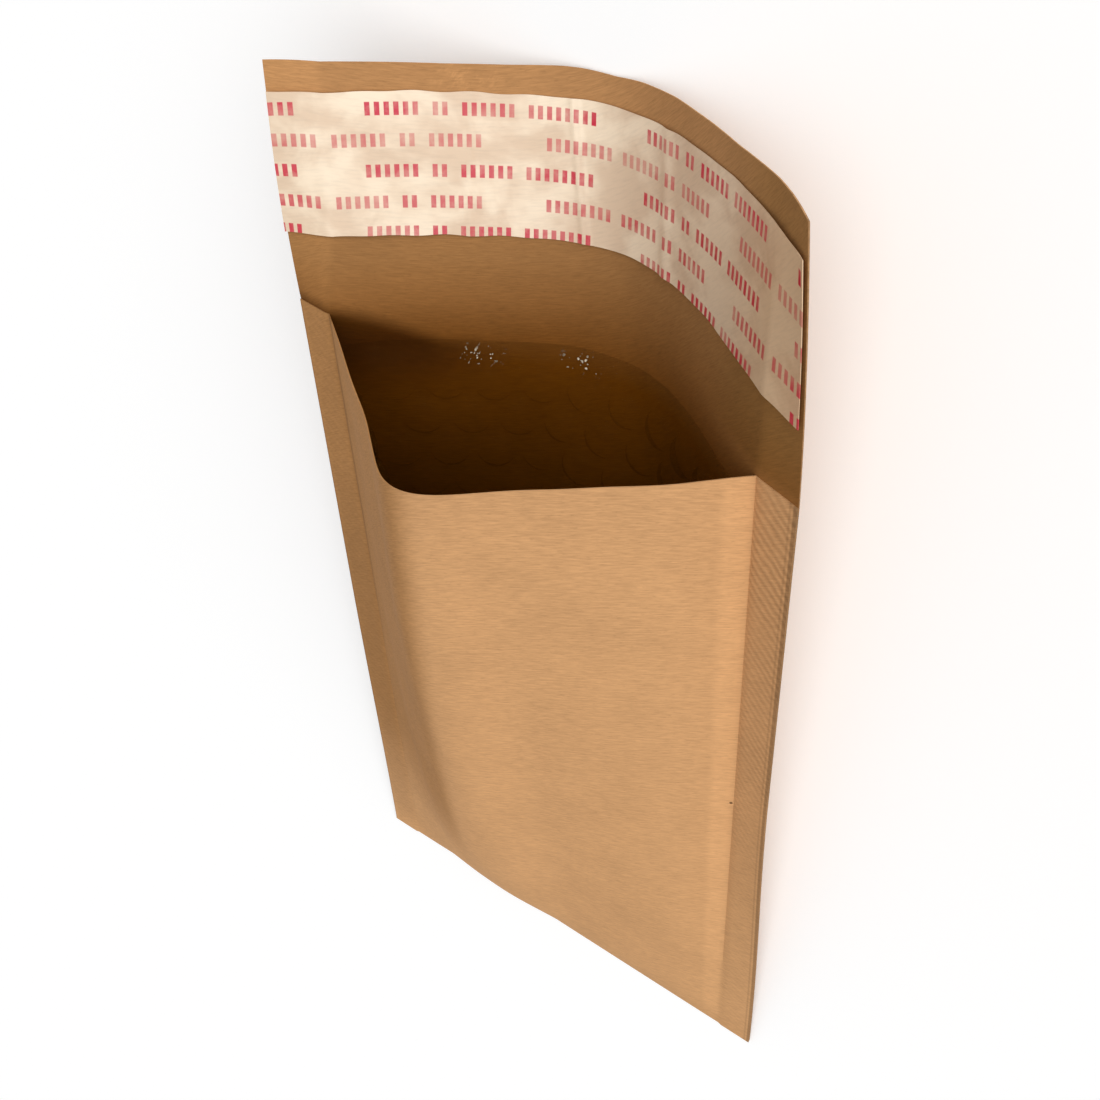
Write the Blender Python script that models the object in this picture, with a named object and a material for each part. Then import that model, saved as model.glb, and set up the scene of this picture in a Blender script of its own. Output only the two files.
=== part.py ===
"""Padded kraft envelope, lying on its back with its mouth pushed open and its flap unfolded.

Metres, +Z up. +Y runs from the bottom fold to the flap's edge, and +X to the envelope's right.
The origin is at the middle of the bounding box, on the surface that the envelope lies on.

The paper is one sheet, folded at the bottom and sealed along both sides. It doesn't stretch: the
sealed sides come closer together towards the mouth, and both panels bow by the length that they
gain. The back stays flat on the table in a triangle whose base is the bottom fold. The lining is a
bag of bubble film, whose bubbles are laid out flat and then bent with the paper.
"""
import bpy
import bmesh
import numpy as np
from math import radians
from mathutils import Vector
from mathutils.geometry import delaunay_2d_cdt

# The envelope lying flat
WIDTH = 0.165            # edge to edge
BODY = 0.247             # bottom fold to mouth
FLAP = 0.057             # mouth to the flap's edge
SEAM = 0.0124            # each heat-sealed side seam
PAPER = 0.0003           # thickness of the kraft paper

# The bubble lining
FILM = 0.0008            # thickness of the film between its bubbles
FILM_SETBACK = 0.009     # the lining ends this far below the mouth
FILM_EDGE = 0.0025       # from the seam's inner edge to the lining's edge
FILM_SEAL = 0.0016       # width of the lining's own sealed side edges
FILM_FOLD = 0.006        # width of the lining's closed fold at the bottom
BUBBLE_PITCH = 0.013     # from one bubble to the next in its row
BUBBLE_HEIGHT = 0.0032   # over the film
BUBBLE_SHOULDER = 0.0047  # from a bubble's middle to its shoulder
SHOULDER_HEIGHT = 0.6    # share of a bubble's height that its shoulder has
BUBBLE_MARGIN = 0.0015   # flat film between the bubbles' field and the lining's edges

# The closure on the flap
STRIP_START = 0.0183     # mouth to the release liner's lower edge
STRIP_WIDTH = 0.0322     # width of the release liner
STRIP_THICKNESS = 0.00015
GLUE_WIDTH = 0.020       # width of the band of adhesive under the liner
GLUE_THICKNESS = 0.0002
GLUE_INSET = 0.004       # from each end of the liner to the adhesive's end

CLEARANCE = 0.0003       # between pieces that touch

# How far it is open. Slopes are in degrees, against the share of the way across.
MOUTH_SLOPES = ((0, -43), (0.21, -34.5), (0.41, -25.5), (0.56, 17.5), (0.76, 39.5), (1, 41))
FLAP_SLOPES = ((0, -47), (0.22, -42.5), (0.42, -13), (0.55, 20.5), (0.75, 37.5), (1, 52))
LEFT_SEAM_SLOPE = -6
RIGHT_SEAM_SLOPE = 21
SEAM_TURN = 0.15         # from the bottom fold, over which the seams turn to their slopes
LEFT_DRIFT = 0.0049      # how far the left seam leans in by the mouth
FLAP_DRIFT = -0.0057     # how far the flap's edge shifts to the left
BACK_LOW = 0.49          # share of the width where the back turns from falling to rising
RIDGE_AT_MOUTH = 0.49    # share of the width where the front's ridge lies
RIDGE_AT_FOLD = 0.30
RIDGE_ROUND_MOUTH = 0.0135  # half the width of the ridge's rounding
RIDGE_ROUND_FOLD = 0.033
FRONT_FULLNESS = 0.063   # how much further the front bows at the mouth than the back
FOLD_ROUND = 0.009       # from the bottom fold, over which the front swells
LIFT_FADE = 0.45         # share of the flap over which the lift at the left seam fades out

# How far the seam's inner edge on the left is lifted at the mouth and the paper beside it moves:
# the distance from that edge, and the lift there
BACK_LIFT = ((0, 0.004), (0.008, 0.002), (0.020, 0.0004), (0.030, 0))
FRONT_LIFT = ((0, 0.0040), (0.014, 0.0025), (0.025, 0.0017), (0.042, -0.0006), (0.055, -0.0008),
              (0.080, -0.0040), (0.095, -0.0013), (0.110, 0.0010), (0.122, 0.0022), (0.1402, 0))

# Shares of the room between the panels that the lining's faces and its bubbles may take up
OUTER_SHARE = 0.08
INNER_SHARE = 0.30
BUBBLE_SHARE = 0.18

# Fineness of the mesh
PANEL_COLUMNS = 24
SEAM_COLUMNS = 2
BODY_ROWS = 17
LINING_SIDE_ROWS = 30
ROW_CROWDING = 1.4       # above 1, the rows lie closer together near the bottom fold
FLAP_ROWS = 6
STRIP_ROWS = 3
FINE_COLUMNS = 170
FINE_SEAM_COLUMNS = 6
FINE_BODY_ROWS = 80
FINE_FLAP_ROWS = 14
STEEPEST_RISE = 0.3      # least share of a paper length that still runs along Y
SHARP_ANGLE = 30         # an edge that bends further, in degrees, is shaded sharp
LEAST = 1e-6             # keeps a length or a share from being nothing


def smooth_curve(points, at):
    """A smooth line through a few points, whose slope at each comes from its neighbours."""
    x = np.array([p[0] for p in points], float)
    y = np.array([p[1] for p in points], float)
    slope = np.gradient(y, x)
    i = np.clip(np.searchsorted(x, at, side="right") - 1, 0, len(x) - 2)
    step = x[i + 1] - x[i]
    u = np.clip((at - x[i]) / step, 0, 1)
    return (y[i] * (1 + 2 * u) * (1 - u) ** 2 + step * slope[i] * u * (1 - u) ** 2
            + y[i + 1] * u * u * (3 - 2 * u) + step * slope[i + 1] * u * u * (u - 1))


def mouth_slope(across):
    """The back's slope at the mouth, in radians, at a distance across the paper."""
    share = np.clip((across - SEAM) / (WIDTH - 2 * SEAM), 0, 1)
    return np.radians(smooth_curve(MOUTH_SLOPES, share))


def with_seams(slopes, across, left, right):
    slopes = np.where(across < SEAM, left, slopes)
    return np.where(across > WIDTH - SEAM, right, slopes)


def back_slopes(across, along):
    """The back's slopes along one cross-section.

    Below the mouth each side is a cone that starts in a bottom corner, so a section there is the
    mouth's section shrunk towards the seams, with the flat triangle between its two sides.
    """
    left, right = radians(LEFT_SEAM_SLOPE), radians(RIGHT_SEAM_SLOPE)
    low = BACK_LOW * WIDTH
    if along <= BODY:
        shrink = BODY / max(along, LEAST)
        from_left = SEAM + (across - SEAM) * shrink
        from_right = WIDTH - SEAM - (WIDTH - SEAM - across) * shrink
        falling = np.minimum(mouth_slope(from_left), 0) * (from_left < low)
        rising = np.maximum(mouth_slope(from_right), 0) * (from_right > low)
        turned = (1 - np.cos(np.pi * min(1, along / SEAM_TURN))) / 2
        return with_seams(falling + rising, across, left * turned, right * turned)
    share = (along - BODY) / FLAP
    at_mouth = with_seams(mouth_slope(across), across, left, right)
    at_edge = np.radians(smooth_curve(FLAP_SLOPES, across / WIDTH))
    return at_mouth * (1 - share) + at_edge * share


def walk(slopes, across):
    """The curve that has these slopes: its x and z at each distance across."""
    step = np.diff(across)
    x = np.concatenate([[0], np.cumsum((np.cos(slopes[1:]) + np.cos(slopes[:-1])) / 2 * step)])
    z = np.concatenate([[0], np.cumsum((np.sin(slopes[1:]) + np.sin(slopes[:-1])) / 2 * step)])
    return x, z


def even_section(across, along):
    """The back's curve at a distance along the paper, without the lift at the left seam."""
    x, z = walk(back_slopes(across, along), across)
    lean = LEFT_DRIFT * along / BODY + FLAP_DRIFT * max(0, along - BODY) / FLAP
    return x - np.interp(SEAM, across, x) + SEAM + lean, z - z.min()


def lift(points, across, along):
    """How far the paper is lifted: nothing at the left edge, most at that seam's inner edge."""
    if along <= BODY:
        share = np.sqrt(along / BODY)
    else:
        left = max(0, 1 - (along - BODY) / (LIFT_FADE * FLAP))
        share = left * left * (3 - 2 * left)
    over_seam = points[0][1] * across / SEAM
    return share * np.where(across < SEAM, over_seam, smooth_curve(points, across - SEAM))


def back_section(across, along):
    """The back's curve, and how far it is lifted."""
    x, z = even_section(across, along)
    return x, z, lift(BACK_LIFT, across, along)


def front_section(across, along):
    """The front: a rounded ridge over the back, from one seam's inner edge to the other's.

    The two sides of the ridge and the line between the seams make a triangle with known sides,
    which gives the slopes. The rounding takes a little off, so the curve is fitted to its ends.
    It returns how far the curve is lifted, too.
    """
    back_x, back_z = even_section(across, along)
    ends = np.array([SEAM, WIDTH - SEAM])
    (x0, x1), (z0, z1) = np.interp(ends, across, back_x), np.interp(ends, across, back_z)
    share = along / BODY
    full = 1 + FRONT_FULLNESS * share
    ridge = WIDTH * (RIDGE_AT_FOLD + (RIDGE_AT_MOUTH - RIDGE_AT_FOLD) * share)
    rounding = RIDGE_ROUND_FOLD + (RIDGE_ROUND_MOUTH - RIDGE_ROUND_FOLD) * share
    left, right = (ridge - SEAM) * full, (WIDTH - SEAM - ridge) * full
    base = min(np.hypot(x1 - x0, z1 - z0), (left + right) * (1 - LEAST))
    climb = np.arccos((left ** 2 + base ** 2 - right ** 2) / (2 * left * base))
    fall = np.arccos((right ** 2 + base ** 2 - left ** 2) / (2 * right * base))
    turn = np.sin(np.clip((across - ridge) / rounding, -1, 1) * np.pi / 2)
    x, z = walk((climb - fall) / 2 - (climb + fall) / 2 * turn, across)
    x, z = x - np.interp(SEAM, across, x), z - np.interp(SEAM, across, z)
    end_x, end_z = np.interp(WIDTH - SEAM, across, x), np.interp(WIDTH - SEAM, across, z)
    way = (across - SEAM) / (WIDTH - 2 * SEAM)
    x = x0 + x * (x1 - x0) / end_x
    swell = full * np.sqrt(along / (along + FOLD_ROUND))
    z = z0 + z * swell + (z1 - z0 - end_z * swell) * way
    inside = (across >= SEAM) & (across <= WIDTH - SEAM)
    return np.where(inside, x, back_x), np.where(inside, z, back_z), lift(FRONT_LIFT, across, along)


class Panel:
    """The inner face of the front or the back, as a fine grid that is read at any place."""

    def __init__(self, section, alongs, inward):
        self.across = fine_columns()
        self.along = alongs
        x, z, lifted = np.stack([section(self.across, a) for a in alongs], axis=1)
        length = np.diff(alongs)[:, None]
        left_over = length ** 2 - np.diff(x, axis=0) ** 2 - np.diff(z, axis=0) ** 2
        run = np.sqrt(np.maximum(left_over, (STEEPEST_RISE * length) ** 2))
        y = np.vstack([np.zeros(len(self.across)), np.cumsum(run, axis=0)])
        self.place = np.stack([x, y, z + lifted], axis=2)
        d_across = np.gradient(self.place, self.across, axis=1)
        d_along = np.gradient(self.place, self.along, axis=0)
        normal = np.cross(d_across, d_along) * inward
        self.normal = normal / np.linalg.norm(normal, axis=2, keepdims=True)

    def read(self, grid, across, along):
        i = np.interp(along, self.along, np.arange(len(self.along)))
        j = np.interp(across, self.across, np.arange(len(self.across)))
        row = np.clip(i.astype(int), 0, len(self.along) - 2)
        column = np.clip(j.astype(int), 0, len(self.across) - 2)
        up, on = (i - row)[:, None], (j - column)[:, None]
        low = grid[row, column] * (1 - on) + grid[row, column + 1] * on
        high = grid[row + 1, column] * (1 - on) + grid[row + 1, column + 1] * on
        return low * (1 - up) + high * up

    def at(self, across, along, depth=0.0):
        """Points on the panel, moved inwards from its inner face by depth."""
        across, along, depth = np.broadcast_arrays(across, along, depth)
        return self.read(self.place, across, along) + self.read(self.normal, across, along) * depth[:, None]


def fine_columns():
    seam = np.linspace(0, SEAM, FINE_SEAM_COLUMNS + 1)
    panel = np.linspace(SEAM, WIDTH - SEAM, FINE_COLUMNS + 1)
    return np.concatenate([seam[:-1], panel, WIDTH - seam[::-1][1:]])


def rows_up(count):
    """Distances along the body, closer together near the bottom fold."""
    return BODY * np.linspace(0, 1, count + 1) ** ROW_CROWDING


def sheet_rows():
    """The rows of the body's sheet, of which one lies where the lining ends."""
    return np.unique(np.append(rows_up(BODY_ROWS), BODY - FILM_SETBACK))


def panel_columns(edge=0.0):
    """Distances across the panel, from seam to seam, whose end ones are moved in by edge."""
    across = np.linspace(SEAM, WIDTH - SEAM, PANEL_COLUMNS + 1)
    across[0] += edge
    across[-1] -= edge
    return across


class Shell:
    """Collects the points and faces of one closed body."""

    def __init__(self):
        self.points = []
        self.faces = []

    def row(self, points):
        first = len(self.points)
        self.points.extend(tuple(p) for p in points)
        return list(range(first, len(self.points)))

    def band(self, a, b):
        """Quads between two rows, with a triangle where they share a point."""
        for corners in zip(a[:-1], a[1:], b[1:], b[:-1]):
            self.face(corners)

    def face(self, corners):
        kept = list(dict.fromkeys(corners))
        if len(kept) > 2:
            self.faces.append(kept)


def sheet_columns(inset=0.0):
    """Distances across the whole sheet, or across a strip that ends short of its edges."""
    seam = np.linspace(0, SEAM, SEAM_COLUMNS + 1)[:-1]
    across = np.concatenate([seam, panel_columns(), WIDTH - seam[::-1]])
    between = (across > inset) & (across < WIDTH - inset)
    return np.concatenate([[inset], across[between], [WIDTH - inset]])


def wrap_shell(back, front):
    """The kraft sheet: both panels, the fold, the two sealed seams and the flap."""
    across = sheet_columns()
    inside = slice(SEAM_COLUMNS, len(across) - SEAM_COLUMNS)
    body = sheet_rows()
    flap = BODY + np.linspace(0, FLAP, FLAP_ROWS + 1)
    shell = Shell()
    outer_back = [shell.row(back.at(across, a, -PAPER)) for a in list(body) + list(flap[1:])]
    outer_front = [shell.row(front.at(across, a, -PAPER)) for a in body]
    for k in outer_back[0] + outer_front[0]:
        x, y, z = shell.points[k]
        shell.points[k] = (x, y - 2 * PAPER, z)
    flap_inner = [shell.row(back.at(across, a)) for a in flap]
    inner_back = [shell.row(back.at(across[inside], a)) for a in body[:-1]] + [flap_inner[0][inside]]
    inner_front = [inner_back[0]]
    for a, behind in zip(body[1:], inner_back[1:]):
        middle = shell.row(front.at(across[inside][1:-1], a))
        inner_front.append([behind[0]] + middle + [behind[-1]])
    mouth = len(body) - 1
    for i in range(len(outer_back) - 1):
        shell.band(outer_back[i], outer_back[i + 1])
    for i in range(mouth):
        shell.band(outer_front[i], outer_front[i + 1])
        shell.band(inner_back[i], inner_back[i + 1])
        shell.band(inner_front[i], inner_front[i + 1])
    shell.band(outer_back[0], outer_front[0])
    lip = flap_inner[0]
    shell.band(outer_front[mouth], lip[:inside.start] + inner_front[mouth] + lip[inside.stop:])
    for side in (0, -1):
        for i in range(mouth):
            step = [lip[side]] if i == mouth - 1 else []
            shell.face([outer_back[i][side], outer_back[i + 1][side]] + step
                       + [outer_front[i + 1][side], outer_front[i][side]])
        for i in range(FLAP_ROWS):
            shell.face([outer_back[mouth + i][side], outer_back[mouth + i + 1][side],
                        flap_inner[i + 1][side], flap_inner[i][side]])
    for i in range(FLAP_ROWS):
        shell.band(flap_inner[i], flap_inner[i + 1])
    shell.band(outer_back[-1], flap_inner[-1])
    return shell


def room_between(back, front, across, along):
    return np.linalg.norm(front.at(across, along) - back.at(across, along), axis=1)


def lining_back_face(shell, back, front):
    """The lining's outer face, which lies on the paper. It returns its two edges at the mouth."""
    across = panel_columns(FILM_EDGE)
    alongs = sheet_rows()[1:]
    alongs = alongs[alongs <= BODY - FILM_SETBACK]
    backs, fronts = [], []
    for a in alongs:
        depth = np.minimum(CLEARANCE, OUTER_SHARE * room_between(back, front, across, a))
        low, high = back.at(across, a, depth), front.at(across, a, depth)
        middle = (low + high) / 2
        if not backs:
            backs = fronts = [shell.row(middle)]
            continue
        low[[0, -1]] = middle[[0, -1]]
        backs = backs + [shell.row(low)]
        fronts = fronts + [[backs[-1][0]] + shell.row(high[1:-1]) + [backs[-1][-1]]]
    for rows in (backs, fronts):
        for a, b in zip(rows[:-1], rows[1:]):
            shell.band(a, b)
    return backs[-1], fronts[-1]


def bubble_field(low, high, start, end):
    """Places and height shares of the bubbles' points, on the flat film.

    Each bubble has a middle, six shoulders and six corners, which it shares with its neighbours.
    Each row is set off by half a pitch from the last.
    """
    reach = BUBBLE_PITCH / np.sqrt(3)
    lift = BUBBLE_PITCH * np.sqrt(3) / 2
    rows = int((end - start - 2 * reach) / lift) + 1
    in_row = int((high - low - BUBBLE_PITCH) / BUBBLE_PITCH) + 1
    shift = (high - low - BUBBLE_PITCH) - (in_row - 1) * BUBBLE_PITCH
    bottom = (start + end - (rows - 1) * lift) / 2
    angles = np.pi / 6 + np.arange(6) * np.pi / 3
    points = {}
    for i in range(rows):
        offset = (i % 2) * BUBBLE_PITCH / 2
        count = in_row if offset <= shift or not offset else in_row - 1
        for k in range(count):
            middle = np.array([low + BUBBLE_PITCH * (k + 0.5) + offset, bottom + i * lift])
            points[tuple(middle)] = 1.0
            for angle in angles:
                away = np.array([np.cos(angle), np.sin(angle)])
                points[tuple(middle + away * BUBBLE_SHOULDER)] = SHOULDER_HEIGHT
                points[tuple(np.round(middle + away * reach, 7))] = 0.0
    return np.array(list(points)), np.array(list(points.values()))


def bubbled_pattern(across):
    """The lining's inner face, laid out flat: points, height shares, triangles and its border."""
    start = sheet_rows()[1] + FILM_FOLD
    end = BODY - FILM_SETBACK
    side = np.linspace(start, end, LINING_SIDE_ROWS + 1)[1:-1]
    bottom = np.stack([across, np.full(len(across), start)], axis=1)
    top = np.stack([across, np.full(len(across), end)], axis=1)
    right = np.stack([np.full(len(side), across[-1]), side], axis=1)
    left = np.stack([np.full(len(side), across[0]), side], axis=1)
    border = np.concatenate([bottom, right, top[::-1], left[::-1]])
    edge = BUBBLE_MARGIN
    field, heights = bubble_field(across[0] + edge, across[-1] - edge, start + edge, end - edge)
    points = np.concatenate([border, field])
    loop = [(i, (i + 1) % len(border)) for i in range(len(border))]
    made = delaunay_2d_cdt([Vector(p) for p in points], loop, [], 0, LEAST / 10)
    number = [found[0] for found in made[3]]
    faces = [[number[k] for k in face] for face in made[2]]
    heights = np.concatenate([np.zeros(len(border)), heights])
    rim = list(range(len(bottom) + len(right), len(bottom) + len(right) + len(top)))[::-1]
    shared = [i for i in range(len(border)) if i not in rim[1:-1]]
    return points, heights, faces, rim, shared


def lining_bubbled_face(shell, back, front):
    """The lining's inner face, with its bubbles. It returns its two edges at the mouth."""
    points, heights, faces, rim, shared = bubbled_pattern(panel_columns(FILM_EDGE + FILM_SEAL))
    across, along = points.T
    room = room_between(back, front, across, along)
    depth = np.minimum(CLEARANCE + FILM, INNER_SHARE * room)
    depth = depth + heights * np.minimum(BUBBLE_HEIGHT, BUBBLE_SHARE * room)
    low, high = back.at(across, along, depth), front.at(across, along, depth)
    low[shared] = (low[shared] + high[shared]) / 2
    backs = shell.row(low)
    fronts = list(backs)
    apart = [i for i in range(len(points)) if i not in set(shared)]
    for i, k in zip(apart, shell.row(high[apart])):
        fronts[i] = k
    for numbers in (backs, fronts):
        for face in faces:
            shell.face([numbers[i] for i in face])
    return [backs[i] for i in rim], [fronts[i] for i in rim]


def lining_shell(back, front):
    """The bubble film, a bag inside the paper one."""
    shell = Shell()
    outer = lining_back_face(shell, back, front)
    inner = lining_bubbled_face(shell, back, front)
    for a, b in zip(outer, inner):
        shell.band(a, b)
    return shell


def strip_shell(back, start, width, inset, depth, thickness):
    """A flat strip across the flap, between two depths over the paper."""
    across = sheet_columns(inset)
    alongs = BODY + start + np.linspace(0, width, STRIP_ROWS + 1)
    shell = Shell()
    under = [shell.row(back.at(across, a, depth)) for a in alongs]
    over = [shell.row(back.at(across, a, depth + thickness)) for a in alongs]
    for i in range(STRIP_ROWS):
        shell.band(under[i], under[i + 1])
        shell.band(over[i], over[i + 1])
        for side in (0, -1):
            shell.face([under[i][side], under[i + 1][side], over[i + 1][side], over[i][side]])
    for i in (0, -1):
        shell.band(under[i], over[i])
    return shell


def material(name, colour, roughness):
    made = bpy.data.materials.new(name)
    made.use_nodes = True
    shader = made.node_tree.nodes["Principled BSDF"]
    shader.inputs["Base Color"].default_value = (*colour, 1)
    shader.inputs["Roughness"].default_value = roughness
    shader.inputs["Metallic"].default_value = 0
    return made


def add_object(name, shell, shift, finish, collection):
    mesh = bpy.data.meshes.new(name)
    mesh.from_pydata([tuple(np.array(p) + shift) for p in shell.points], [], shell.faces)
    bm = bmesh.new()
    bm.from_mesh(mesh)
    bmesh.ops.recalc_face_normals(bm, faces=bm.faces)
    if bm.calc_volume(signed=True) < 0:
        bmesh.ops.reverse_faces(bm, faces=bm.faces)
    bm.to_mesh(mesh)
    bm.free()
    mesh.materials.append(finish)
    mesh.shade_smooth()
    mesh.set_sharp_from_angle(angle=radians(SHARP_ANGLE))
    made = bpy.data.objects.new(name, mesh)
    collection.objects.link(made)
    return made


def main():
    for old in list(bpy.data.objects):
        bpy.data.objects.remove(old)
    collection = bpy.data.collections.new("padded_envelope")
    bpy.context.scene.collection.children.link(collection)

    body = rows_up(FINE_BODY_ROWS)
    flap = BODY + np.linspace(0, FLAP, FINE_FLAP_ROWS + 1)
    back = Panel(back_section, np.concatenate([body, flap[1:]]), 1)
    front = Panel(front_section, body, -1)

    wrap = wrap_shell(back, front)
    points = np.array(wrap.points)
    low, high = points.min(axis=0), points.max(axis=0)
    shift = -np.array([(low[0] + high[0]) / 2, (low[1] + high[1]) / 2, low[2]])

    kraft = material("kraft_paper", (0.66, 0.43, 0.23), 0.75)
    film = material("bubble_film", (0.80, 0.79, 0.76), 0.25)
    glue = material("hot_melt", (0.85, 0.80, 0.62), 0.35)
    release = material("release_paper", (0.86, 0.76, 0.62), 0.55)
    add_object("kraft_envelope", wrap, shift, kraft, collection)
    add_object("bubble_lining", lining_shell(back, front), shift, film, collection)

    glue_start = STRIP_START + (STRIP_WIDTH - GLUE_WIDTH) / 2
    strip = strip_shell(back, glue_start, GLUE_WIDTH, GLUE_INSET, CLEARANCE, GLUE_THICKNESS)
    add_object("adhesive_strip", strip, shift, glue, collection)
    over_glue = 2 * CLEARANCE + GLUE_THICKNESS
    strip = strip_shell(back, STRIP_START, STRIP_WIDTH, 0, over_glue, STRIP_THICKNESS)
    add_object("release_liner", strip, shift, release, collection)


main()
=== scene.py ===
"""Looks of the padded kraft envelope: its paper, bubble film, adhesive and printed release liner.

Metres, +Z up, in the row frame. The paper's own places are given as across, from the left edge,
and along, from the bottom fold to the flap's edge.
"""

from functools import reduce
from math import radians

import bmesh
import bpy
import numpy as np
from mathutils import Matrix, Vector
from mathutils.geometry import delaunay_2d_cdt


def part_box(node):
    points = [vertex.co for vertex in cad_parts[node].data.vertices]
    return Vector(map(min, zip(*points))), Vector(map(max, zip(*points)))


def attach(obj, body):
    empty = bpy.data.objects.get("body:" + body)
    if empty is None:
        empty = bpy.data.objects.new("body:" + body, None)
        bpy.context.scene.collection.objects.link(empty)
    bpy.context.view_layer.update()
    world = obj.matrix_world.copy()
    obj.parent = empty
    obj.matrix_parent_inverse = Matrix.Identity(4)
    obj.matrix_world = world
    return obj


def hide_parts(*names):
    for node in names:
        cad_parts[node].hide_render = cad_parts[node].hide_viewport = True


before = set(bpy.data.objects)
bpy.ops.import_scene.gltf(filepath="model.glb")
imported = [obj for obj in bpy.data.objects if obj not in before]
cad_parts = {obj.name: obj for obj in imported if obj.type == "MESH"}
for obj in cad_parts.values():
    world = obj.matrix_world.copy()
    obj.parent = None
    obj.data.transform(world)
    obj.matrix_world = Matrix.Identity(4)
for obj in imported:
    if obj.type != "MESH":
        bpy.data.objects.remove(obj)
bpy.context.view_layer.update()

# The envelope lying flat, as in the CAD model
WIDTH = 0.165
BODY = 0.247
FLAP = 0.057
SEAM = 0.0124
PAPER = 0.0003
FILM = 0.0008
FILM_SETBACK = 0.009
FILM_EDGE = 0.0025
FILM_SEAL = 0.0016
FILM_FOLD = 0.006
STRIP_START = 0.0183
STRIP_WIDTH = 0.0322
STRIP_THICKNESS = 0.00015
GLUE_THICKNESS = 0.0002
CLEARANCE = 0.0003

# How far it is open, as in the CAD model
MOUTH_SLOPES = ((0, -43), (0.21, -34.5), (0.41, -25.5), (0.56, 17.5), (0.76, 39.5), (1, 41))
FLAP_SLOPES = ((0, -47), (0.22, -42.5), (0.42, -13), (0.55, 20.5), (0.75, 37.5), (1, 52))
LEFT_SEAM_SLOPE = -6
RIGHT_SEAM_SLOPE = 21
SEAM_TURN = 0.15
LEFT_DRIFT = 0.0049
FLAP_DRIFT = -0.0057
BACK_LOW = 0.49
RIDGE_AT_MOUTH = 0.49
RIDGE_AT_FOLD = 0.30
RIDGE_ROUND_MOUTH = 0.0135
RIDGE_ROUND_FOLD = 0.033
FRONT_FULLNESS = 0.063
FOLD_ROUND = 0.009
LIFT_FADE = 0.45
BACK_LIFT = ((0, 0.004), (0.008, 0.002), (0.020, 0.0004), (0.030, 0))
FRONT_LIFT = ((0, 0.0040), (0.014, 0.0025), (0.025, 0.0017), (0.042, -0.0006), (0.055, -0.0008),
              (0.080, -0.0040), (0.095, -0.0013), (0.110, 0.0010), (0.122, 0.0022), (0.1402, 0))
STEEPEST_RISE = 0.3

# Fineness of the curved surfaces that every piece is laid on
DENSE_COLUMNS = 600
DENSE_BODY_ROWS = 240
DENSE_FLAP_ROWS = 60
DENSE_CROWDING = 1.4     # the rows crowd towards the fold
DENSE_SEAM_COLUMNS = 13

# The photo's camera, in the flat envelope's own corner frame
CAMERA_PLACE = (0.19116, 0.35031, 0.21308)
CAMERA_RIGHT = (0.82666, 0.07344, -0.55789)
CAMERA_DOWN = (0.37872, -0.80590, 0.45508)
CAMERA_FORWARD = (-0.41619, -0.58748, -0.69402)
CAMERA_LENS = 33.349
SENSOR = 36


def smooth_curve(points, at):
    """A smooth line through a few points, whose slope at each comes from its neighbours."""
    x = np.array([p[0] for p in points], float)
    y = np.array([p[1] for p in points], float)
    slope = np.gradient(y, x)
    i = np.clip(np.searchsorted(x, at, side="right") - 1, 0, len(x) - 2)
    step = x[i + 1] - x[i]
    u = np.clip((at - x[i]) / step, 0, 1)
    return (y[i] * (1 + 2 * u) * (1 - u) ** 2 + step * slope[i] * u * (1 - u) ** 2
            + y[i + 1] * u * u * (3 - 2 * u) + step * slope[i + 1] * u * u * (u - 1))


def smooth_step(low, high, at):
    share = np.clip((at - low) / (high - low), 0, 1)
    return share * share * (3 - 2 * share)


def mouth_slope(across):
    share = np.clip((across - SEAM) / (WIDTH - 2 * SEAM), 0, 1)
    return np.radians(smooth_curve(MOUTH_SLOPES, share))


def with_seams(slopes, across, left, right):
    slopes = np.where(across < SEAM, left, slopes)
    return np.where(across > WIDTH - SEAM, right, slopes)


def back_slopes(across, along):
    left, right = radians(LEFT_SEAM_SLOPE), radians(RIGHT_SEAM_SLOPE)
    low = BACK_LOW * WIDTH
    if along <= BODY:
        shrink = BODY / max(along, 1e-6)
        from_left = SEAM + (across - SEAM) * shrink
        from_right = WIDTH - SEAM - (WIDTH - SEAM - across) * shrink
        falling = np.minimum(mouth_slope(from_left), 0) * (from_left < low)
        rising = np.maximum(mouth_slope(from_right), 0) * (from_right > low)
        turned = (1 - np.cos(np.pi * min(1, along / SEAM_TURN))) / 2
        return with_seams(falling + rising, across, left * turned, right * turned)
    share = (along - BODY) / FLAP
    at_mouth = with_seams(mouth_slope(across), across, left, right)
    at_edge = np.radians(smooth_curve(FLAP_SLOPES, across / WIDTH))
    return at_mouth * (1 - share) + at_edge * share


def walk(slopes, across):
    step = np.diff(across)
    x = np.concatenate([[0], np.cumsum((np.cos(slopes[1:]) + np.cos(slopes[:-1])) / 2 * step)])
    z = np.concatenate([[0], np.cumsum((np.sin(slopes[1:]) + np.sin(slopes[:-1])) / 2 * step)])
    return x, z


def even_section(across, along):
    x, z = walk(back_slopes(across, along), across)
    lean = LEFT_DRIFT * along / BODY + FLAP_DRIFT * max(0, along - BODY) / FLAP
    return x - np.interp(SEAM, across, x) + SEAM + lean, z - z.min()


def lift(points, across, along):
    if along <= BODY:
        share = np.sqrt(along / BODY)
    else:
        left = max(0, 1 - (along - BODY) / (LIFT_FADE * FLAP))
        share = left * left * (3 - 2 * left)
    over_seam = points[0][1] * across / SEAM
    return share * np.where(across < SEAM, over_seam, smooth_curve(points, across - SEAM))


def back_section(across, along):
    x, z = even_section(across, along)
    return x, z, lift(BACK_LIFT, across, along)


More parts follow.
